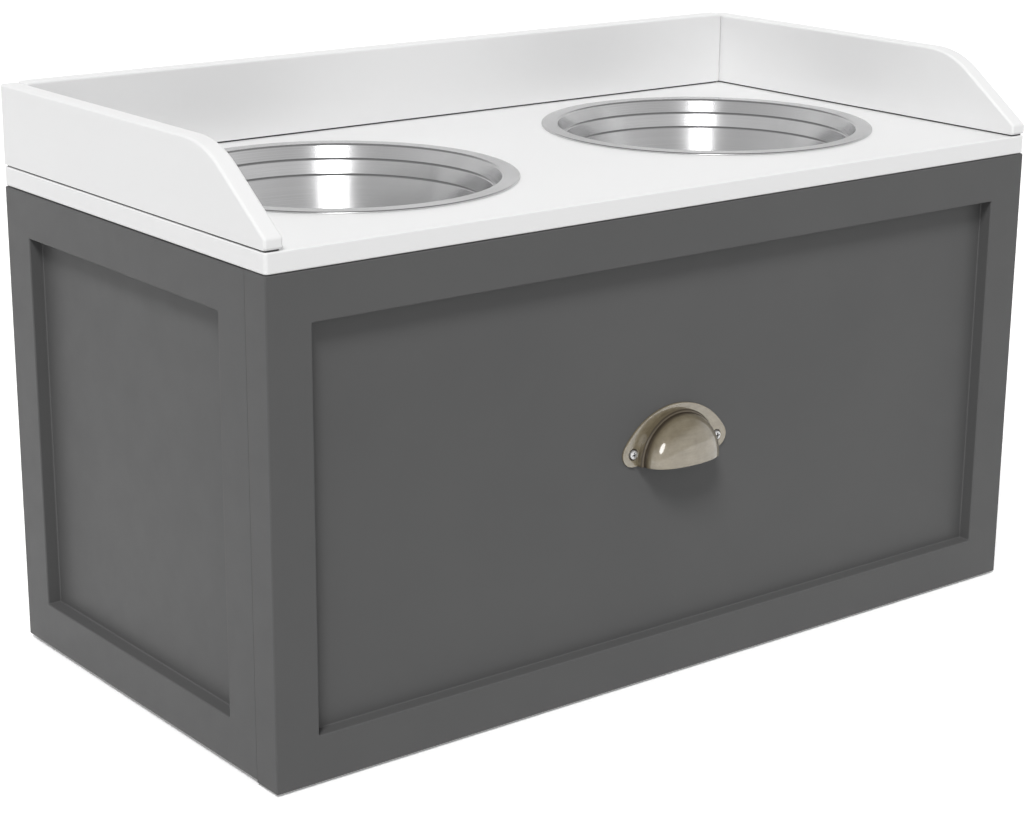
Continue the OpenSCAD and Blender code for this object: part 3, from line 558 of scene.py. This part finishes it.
def spun(name, section, out, centre, steps=144):
    """A section carried once round an upright axis: a point at a distance r is at r * cos a and
    r * sin a. Its first and last points lie on the axis, where the fields close to triangles. The
    map across the surface has the turn in its first number, and the way along the section, in
    metres, in its second."""
    ring = np.stack([np.cos(full_turn(steps)), np.sin(full_turn(steps))], 1)
    body = section[1:-1]
    points = np.concatenate([
        np.concatenate([body[:, None, :1] * ring[None],
                        np.repeat(body[:, None, 1:], steps, 1)], -1).reshape(-1, 3),
        [[0, 0, section[0, 1]], [0, 0, section[-1, 1]]]]) + [*centre, 0.0]
    ways = np.concatenate([out[1:-1, None, :1] * ring[None],
                           np.repeat(out[1:-1, None, 1:], steps, 1)], -1).reshape(-1, 3)
    ways = np.concatenate([ways, [[0, 0, out[0, 1]], [0, 0, out[-1, 1]]]])
    fields, start, end = capped_grid(len(body), steps)
    piece = put(name, points, fields.tolist() + start.tolist() + end.tolist(),
                ways[np.concatenate([fields.ravel(), start.ravel(), end.ravel()])])
    way = np.r_[0.0, np.cumsum(np.linalg.norm(np.diff(section, axis=0), axis=1))]
    share = np.arange(steps) / steps
    row_way = way[1:-1]
    field_map = np.stack(np.broadcast_arrays(
        np.stack([share, share + 1 / steps, share + 1 / steps, share], 1)[None],
        np.stack([row_way[:-1], row_way[:-1], row_way[1:], row_way[1:]], 1)[:, None]), -1)
    fan = np.stack([share, share + 1 / steps, share], 1)
    start_map = np.stack([fan, np.broadcast_to(way[[0, 1, 1]], (steps, 3))], -1)
    end_map = np.stack([fan, np.broadcast_to(way[[-2, -2, -1]], (steps, 3))], -1)
    spread = piece.data.uv_layers.new(name="spun")
    spread.data.foreach_set("uv", np.concatenate([
        field_map.ravel(), start_map.ravel(), end_map.ravel()]))
    return piece


# Polished stainless steel: hair-fine rings from the spinning, and a slight haze that comes and goes.
stainless_steel, tree, shader, place = new_finish("stainless_steel", (0.56, 0.56, 0.565), 0.17, 1.0)
spread = add(tree, "ShaderNodeUVMap", uv_map="spun").outputs["UV"]
hairs = grain(tree, spread, 1.0, 2.0, (1.5, 2600.0, 1.0))
tree.links.new(tint(tree, span(tree, hairs, 0.0, 1.0), (0.60, 0.60, 0.605), (0.66, 0.66, 0.665)),
               shader.inputs["Base Color"])
tree.links.new(span(tree, grain(tree, place, 25.0, 4.0), 0.17, 0.26), shader.inputs["Roughness"])
relief(tree, shader, hairs, 0.000008)

# The sheet's middle line, by distance from the axis and height: the floor, the wall with the
# corners of its two ring steps, and the rim with its lip.
SHEET_T = 0.0008
FLOOR_R, RING_R, NECK_R, LIP_R = 0.0284, 0.0006, 0.0014, 0.00045   # rounds of its bends
bowl_line = [(0.0, 0.2487), (0.0787, 0.2487), (0.0931, 0.2950), (0.0950, 0.2956), (0.0973, 0.3045),
             (0.0992, 0.3051), (0.1019, 0.3139), (0.1121, 0.3139), (0.1121, 0.3134)]
section, out = bent_sheet(bowl_line, [FLOOR_R, *[RING_R] * 4, NECK_R, LIP_R], SHEET_T)
for side, x in (("left", -BOWL_X), ("right", BOWL_X)):
    bowl = spun(f"{side}_steel_bowl", section, out, (x, BOWL_Y))
    settle(bowl, stainless_steel, "stainless_steel", f"{side}_bowl", f"{side}_bowl")


# The drawer's front
# A painted panel with four strips glued round its face, as on the sides. It covers the cabinet's
# whole front and is held to the drawer box by cam bolts and dowels.
strips = [f"drawer_{part}" for part in ("left_stile", "right_stile", "top_rail", "bottom_rail")]
outer_low, outer_high = reach(*strips)
field_low = (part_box(strips[3])[1][2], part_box(strips[0])[1][0])
field_high = (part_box(strips[2])[0][2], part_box(strips[1])[0][0])
outer_high[2] += SHADOW_GAP          # the top rail hides most of the play under the board
field = oblong(field_low, field_high, FIELD_R, hole=True)
front_frame = eased_board("drawer_front_frame",
                          [oblong(outer_low[[2, 0]], outer_high[[2, 0]], BOARD_EASE), field],
                          "y", outer_low[1], outer_high[1], BOARD_EASE, 0.0)
bead = corner_bead("drawer_front_bead", field, "y", outer_high[1], -1, BEAD_R)
for piece in (front_frame, bead):
    settle(piece, grey_paint, "grey_paint", "drawer", *strips)
panel_low, panel_high = reach("drawer_front_panel")
panel_high[2] += SHADOW_GAP
front_board = eased_board("drawer_front_board",
                          [oblong(panel_low[[2, 0]], panel_high[[2, 0]], BOARD_EASE)],
                          "y", panel_low[1], panel_high[1], 0.0, SEAM_EASE)
settle(front_board, grey_paint, "grey_paint", "drawer", "drawer_front_panel")

# Small clear bumpers on the back of the front panel soften its closing.
bumper_gel, tree, shader, place = new_finish("bumper_gel", (0.8, 0.8, 0.8), 0.2)
shader.inputs["Transmission Weight"].default_value = 0.6
tree.links.new(span(tree, grain(tree, place, 400.0), 0.15, 0.3), shader.inputs["Roughness"])
dress(bumper_gel, "drawer_bumpers")


# The cup pull
# The pull is cast in brass, left to brown, and then rubbed back and lacquered: a thin flange with an
# ear for a screw at each end, and a half cup with a step round its dome, open below for the
# fingers. The browning stays on the step and in the groove beside it.
FLANGE_T, METAL = 0.0012, 0.0012                 # thickness of the flange and of the cup
EAR_R, TIP_R = 0.0082, 0.0004                    # rounds of the ears, and of the tips by the cup
CUP_R = 0.031
STEP_W, STEP_H, STEP_R = 0.002, 0.0055, 0.0009   # the step round the dome, and its rounded edge
GROOVE_W, GROOVE_UP = 0.0004, 0.0002             # the groove beside it, and how far up it starts
STAIN_H = 0.0006                                 # browner band round the foot of the cup's wall
SEAT_R, SEAT_T = 0.00365, 0.0005                 # sunken seat round each screw head
SEAT_LAP = 0.0002                                # how far its floor reaches under the flange
NOTCH_TURN = 89.2                                # degrees from the top of the notch to its ends
FULLNESS = 0.87                                  # 1 gives the dome's section as an ellipse, and
                                                 # less makes it fuller
DOME_ROWS, NEAR_FOOT, AT_FOOT = 39, 0.045, 0.02  # in radians, for the dome's last two rows


def chain(*arcs):
    """One closed outline from arcs, with straight lines between the end of one and the next."""
    return np.concatenate([a[0] for a in arcs]), np.concatenate([a[1] for a in arcs])


(_, pull_y0, pull_z0), (pull_x1, pull_y1, pull_z1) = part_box("cup_pull")
ear_x, ear_z = pull_x1 - EAR_R, pull_z0 + EAR_R
rise = pull_z1 - pull_z0 - EAR_R
arch_r = (ear_x ** 2 + rise ** 2 - EAR_R ** 2) / (2 * (rise - EAR_R))
arch_z = pull_z1 - arch_r
reach_angle = np.degrees(np.arctan2(ear_x, ear_z - arch_z))
notch_r = CUP_R - METAL / 2
flange_loop = chain(
    arc((arch_z, 0.0), arch_r, -reach_angle, reach_angle, 48),
    arc((ear_z, ear_x), EAR_R, reach_angle, 180.0, 16),
    arc((pull_z0 + TIP_R, notch_r + TIP_R), TIP_R, 180.0, 270.0, 3),
    arc((pull_z0, 0.0), notch_r, NOTCH_TURN, -NOTCH_TURN, 48),
    arc((pull_z0 + TIP_R, -notch_r - TIP_R), TIP_R, 90.0, 180.0, 3),
    arc((ear_z, -ear_x), EAR_R, 180.0, 360.0 - reach_angle, 16))
seats = [circle((ear_z, side * ear_x), SEAT_R, 48, hole=True) for side in (-1, 1)]
flange = eased_board("pull_flange", [flange_loop, *seats], "y", pull_y1 - FLANGE_T, pull_y1,
                     TIP_R, 0.0)
# thin discs floor the sunken seats, and they are made fully dark: painted shade round each screw head
seat_discs = [eased_board(f"pull_seat_{word}",
                          [circle((ear_z, side * ear_x), SEAT_R + SEAT_LAP, 48)],
                          "y", pull_y1 - SEAT_T, pull_y1, 0.0, 0.0)
              for word, side in (("left", -1), ("right", 1))]

# The middle line of the cup's metal, by distance from the cup's axis and height over the panel: at
# an angle a the dome is at dome_r * cos(a) ** FULLNESS and STEP_H + dome_h * sin(a) ** FULLNESS,
# less half the metal, and below it come the groove, the round of the step and the wall.
half = METAL / 2
dome_r, dome_h = CUP_R - STEP_W, pull_y1 - pull_y0 - STEP_H
climb = np.r_[np.linspace(np.pi / 2, NEAR_FOOT, DOME_ROWS), AT_FOOT]
dome = np.stack([(dome_r - half) * np.cos(climb) ** FULLNESS,
                 STEP_H + (dome_h - half) * np.sin(climb) ** FULLNESS], 1)
groove = np.array([[dome_r - half + GROOVE_W / 4, STEP_H + GROOVE_UP],
                   [dome_r - half + GROOVE_W, STEP_H - half]])
bend = np.linspace(0, np.pi / 2, 7)[:, None]
step = [CUP_R - half - STEP_R, STEP_H - half - STEP_R] + STEP_R * np.concatenate(
    [np.sin(bend), np.cos(bend)], 1)
wall = np.array([[CUP_R - half, STAIN_H], [CUP_R - half, 0.0]])
mid = np.concatenate([dome, groove, step, wall])
run = np.gradient(mid, axis=0)
run /= np.linalg.norm(run, axis=1)[:, None]
off = np.stack([-run[:, 1], run[:, 0]], 1)
off *= np.sign(off.sum(1))[:, None]        # always away from the hollow
off[0] = [0.0, 1.0]
# how brown each of these points is: the dome is rubbed clean but for its foot, the groove and the
# step's edge are darkest, and the step and the wall lie between
RUBBED, BROWN = 0.05, 1.0
foot_brown = [0.12, 0.3, 0.55, 0.8, 0.95, BROWN]
step_brown = [0.75, 0.65, 0.7, 0.95, BROWN, 0.75, 0.5]
wall_brown = [0.45, 0.6]
brown = np.concatenate([np.full(len(dome) - len(foot_brown), RUBBED), foot_brown,
                        np.full(len(groove), BROWN), step_brown, wall_brown])


def cup_side(reach_out, steps=72):
    """One face of the cup: the middle line moved off by a distance and turned half round about the
    middle of the pull's lower edge, from its right end over the top to its left end, so that a point
    at a distance r is r * cos a across and r * sin a up."""
    line = mid + reach_out * off
    angle = np.linspace(0, np.pi, steps + 1)
    return np.stack([line[:, None, 0] * np.cos(angle), pull_y1 - line[:, None, 1] + 0 * angle,
                     pull_z0 + half + line[:, None, 0] * np.sin(angle)], -1)


def cup_lip(sign, steps=8):
    """Half of the cup's lower lip: a half circle carried along the middle line, from the outer face
    down and round to the inner face, half * cos a off the line and half * sin a below it."""
    angle = np.linspace(0, np.pi, steps + 1)[None, :, None]
    flat = mid[:, None] + half * np.cos(angle) * off[:, None]
    return np.stack([sign * flat[..., 0], pull_y1 - flat[..., 1],
                     pull_z0 + half - half * np.sin(angle[..., 0]) + 0 * flat[..., 0]], -1)


def set_patina_and_shade(piece, values):
    """Keeps how dark each point of a piece is, from 0 to 1, for its finish to read: brown patina on
    the cup, and painted shade in the screws' seats and cross recesses.
    """
    piece.data.attributes.new("patina_and_shade", "FLOAT", "POINT").data.foreach_set("value", values)


points, faces, patina_and_shade, first = [], [], [], 0
for sheet in (cup_side(half), cup_side(-half), cup_lip(1.0), cup_lip(-1.0)):
    rows, columns = sheet.shape[:2]
    faces += (grid_faces(rows, columns, around=False) + first).tolist()
    points.append(sheet.reshape(-1, 3))
    patina_and_shade.append(np.repeat(brown, columns))
    first += rows * columns
cup = put("pull_cup", np.concatenate(points), faces)
set_patina_and_shade(cup, np.concatenate(patina_and_shade))


def cross_head(name, side):
    """A screw head from the front: over the seat, the height at a distance r from its axis is a
    cylinder up to its shoulder and then half an ellipse. The cross is pressed into it: at the
    distances a and b from the two slots' middle lines it takes away the greater of two slots, each
    as deep as its width and its length both allow, with soft sides."""
    radius, shoulder, crown, deep = 0.0028, 0.0019, 0.0007, 0.0009
    half_width, soft_side = 0.00045, 0.0002
    half_length, soft_end = 0.0018, 0.0005
    askew, spokes, under = 0.08, 96, 0.0001
    spread = np.linspace(0.0, 1.0, 27)[1:]
    r, t = np.meshgrid(radius * spread, full_turn(spokes), indexing="ij")
    a, b = r * np.cos(t + askew), r * np.sin(t + askew)

    def slot(u, v):
        return (np.clip((half_width - abs(u)) / soft_side, 0, 1)
                * np.clip((half_length - abs(v)) / soft_end, 0, 1))

    pressed = np.maximum(slot(a, b), slot(b, a))
    height = shoulder + crown * np.sqrt(np.clip(1 - (r / radius) ** 2, 0, 1)) - deep * pressed
    rings = np.stack([side * ear_x + r * np.sin(t), pull_y1 - height, ear_z + r * np.cos(t)], -1)
    foot_y = pull_y1 - SEAT_T + under
    foot = rings[-1] * [1, 0, 1] + [0, foot_y, 0]
    points = np.concatenate([rings.reshape(-1, 3), foot,
                             [[side * ear_x, pull_y1 - shoulder - crown + deep, ear_z],
                              [side * ear_x, foot_y, ear_z]]])
    fields, start, end = capped_grid(len(spread) + 1, spokes)
    head = put(name, points, fields.tolist() + start.tolist() + end.tolist())
    # the cross recess is made dark as far as it is pressed in, its middle fully: painted shade
    set_patina_and_shade(head, np.concatenate([pressed.ravel(), np.zeros(spokes), [1.0, 0.0]]))
    return head


def smooth_skin(piece, sharp):
    """Joins what meets, closes what is left open, turns the faces out, and keeps edges sharper than
    an angle in degrees as hard lines."""
    skin = bmesh.new()
    skin.from_mesh(piece.data)
    bmesh.ops.remove_doubles(skin, verts=skin.verts, dist=2e-6)
    bmesh.ops.holes_fill(skin, edges=skin.edges, sides=0)
    bmesh.ops.recalc_face_normals(skin, faces=skin.faces)
    skin.to_mesh(piece.data)
    skin.free()
    piece.data.polygons.foreach_set("use_smooth", np.ones(len(piece.data.polygons), bool))
    piece.data.set_sharp_from_angle(angle=np.radians(sharp))


smooth_skin(cup, 60.0)
# the flange stays clean, and the seat discs are painted shade, fully dark
for piece, painted_shade_level in ((flange, 0.0), *((disc, 1.0) for disc in seat_discs)):
    set_patina_and_shade(piece, np.full(len(piece.data.vertices), painted_shade_level))


def read_patina_and_shade(tree):
    """How dark the points of a piece are, as patina or as painted shade, as its finish reads it."""
    return add(tree, "ShaderNodeAttribute", attribute_name="patina_and_shade").outputs["Fac"]


def patina_or_shade_colour(tree, clean, stain_or_shade):
    """A colour that turns from a clean one to a dark one with the darkening of a piece's points, which
    is patina on the cup and painted shade on the screws and their seats.
    """
    return add(tree, "ShaderNodeMix", {
        "Factor": read_patina_and_shade(tree), "A": clean, "B": (*stain_or_shade, 1.0)}, data_type="RGBA").outputs[2]


# Aged brass under lacquer: mottled, with a brown patina that sits where it isn't rubbed, and painted
# shade in the sunken seats round the screws.
aged_brass, tree, shader, place = new_finish("aged_brass", (0.21, 0.17, 0.11), 0.4, 0.3)
streaks = grain(tree, place, 700.0, 2.0, (0.08, 1.0, 1.0))
both = add(tree, "ShaderNodeMath", {0: streaks, 1: 0.5, 2: grain(tree, place, 140.0, 5.0)},
           operation="MULTIPLY_ADD").outputs["Value"]
clean = tint(tree, span(tree, both, 0.0, 1.0, 0.5, 1.0), (0.172, 0.141, 0.087),
             (0.243, 0.205, 0.134))
tree.links.new(patina_or_shade_colour(tree, clean, (0.050, 0.038, 0.026)), shader.inputs["Base Color"])
tree.links.new(span(tree, grain(tree, place, 300.0, 2.0), 0.36, 0.46), shader.inputs["Roughness"])
relief(tree, shader, grain(tree, place, 300.0, 3.0), 0.000008)
tree.links.new(span(tree, read_patina_and_shade(tree), 1.0, 0.1, 0.1, 0.7), shader.inputs["Coat Weight"])
shader.inputs["Coat Roughness"].default_value = 0.05
shader.inputs["Coat IOR"].default_value = 2.0
for piece in (flange, cup, *seat_discs):
    settle(piece, aged_brass, "aged_brass", "drawer", "cup_pull")

# Two nickelled screws with domed heads and a cross recess hold the pull's ears, and the recess is
# painted dark as shade.
nickel, tree, shader, place = new_finish("nickel_plate", (0.7, 0.7, 0.7), 0.3, 0.75)
tree.links.new(span(tree, grain(tree, place, 900.0), 0.26, 0.38), shader.inputs["Roughness"])
plate = tint(tree, grain(tree, place, 400.0), (0.62, 0.62, 0.62), (0.76, 0.76, 0.76))
# the near-black colour is painted shade in the cross recess
tree.links.new(patina_or_shade_colour(tree, plate, (0.035, 0.033, 0.03)), shader.inputs["Base Color"])
for word, side in (("left", -1), ("right", 1)):
    head = cross_head(f"pull_screw_{word}", side)
    smooth_skin(head, 50.0)
    settle(head, nickel, "nickel_screws", "drawer", "pull_screws")


# The drawer box
# The box behind the front has two sides and a back of fibreboard wrapped in matt white foil, and a
# thin bottom that slides into grooves. Screws hold its back, and cam bolts and dowels its front.
drawer_foil, tree, shader, place = new_finish("drawer_foil", (0.72, 0.72, 0.71), 0.5)
pressed = grain(tree, place, 220.0, 4.0, (1.0, 0.08, 1.0))
tree.links.new(tint(tree, span(tree, pressed, 0.0, 1.0), (0.70, 0.70, 0.69), (0.735, 0.735, 0.725)),
               shader.inputs["Base Color"])
tree.links.new(span(tree, pressed, 0.44, 0.56), shader.inputs["Roughness"])
relief(tree, shader, pressed, 0.00004)
dress(drawer_foil, "drawer_left_side", "drawer_right_side", "drawer_back", "drawer_bottom")


# The drawer's runners
# On each side a folded steel runner is screwed to the cabinet and another to the drawer box, both
# enamelled white. A nylon roller at the front of one and at the back of the other carries the load.
enamel, tree, shader, place = new_finish("runner_enamel", (0.8, 0.8, 0.79), 0.35)
tree.links.new(tint(tree, grain(tree, place, 30.0), (0.78, 0.78, 0.77), (0.82, 0.82, 0.81)),
               shader.inputs["Base Color"])
tree.links.new(span(tree, grain(tree, place, 90.0), 0.3, 0.42), shader.inputs["Roughness"])
relief(tree, shader, grain(tree, place, 1100.0, 2.0), 0.00004)
nylon, tree, shader, place = new_finish("nylon", (0.85, 0.85, 0.82), 0.45)
shader.inputs["Subsurface Weight"].default_value = 0.1
shader.inputs["Subsurface Scale"].default_value = 0.002
tree.links.new(tint(tree, grain(tree, place, 200.0), (0.83, 0.83, 0.79), (0.87, 0.87, 0.84)),
               shader.inputs["Base Color"])
tree.links.new(span(tree, grain(tree, place, 600.0), 0.4, 0.52), shader.inputs["Roughness"])
for side in ("left", "right"):
    dress(enamel, f"{side}_cabinet_runner", f"{side}_drawer_runner")
    dress(nylon, f"{side}_cabinet_roller", f"{side}_drawer_roller")
dress(zinc_steel, "cabinet_rivets", "drawer_rivets", "cabinet_runner_screws",
      "drawer_runner_screws")
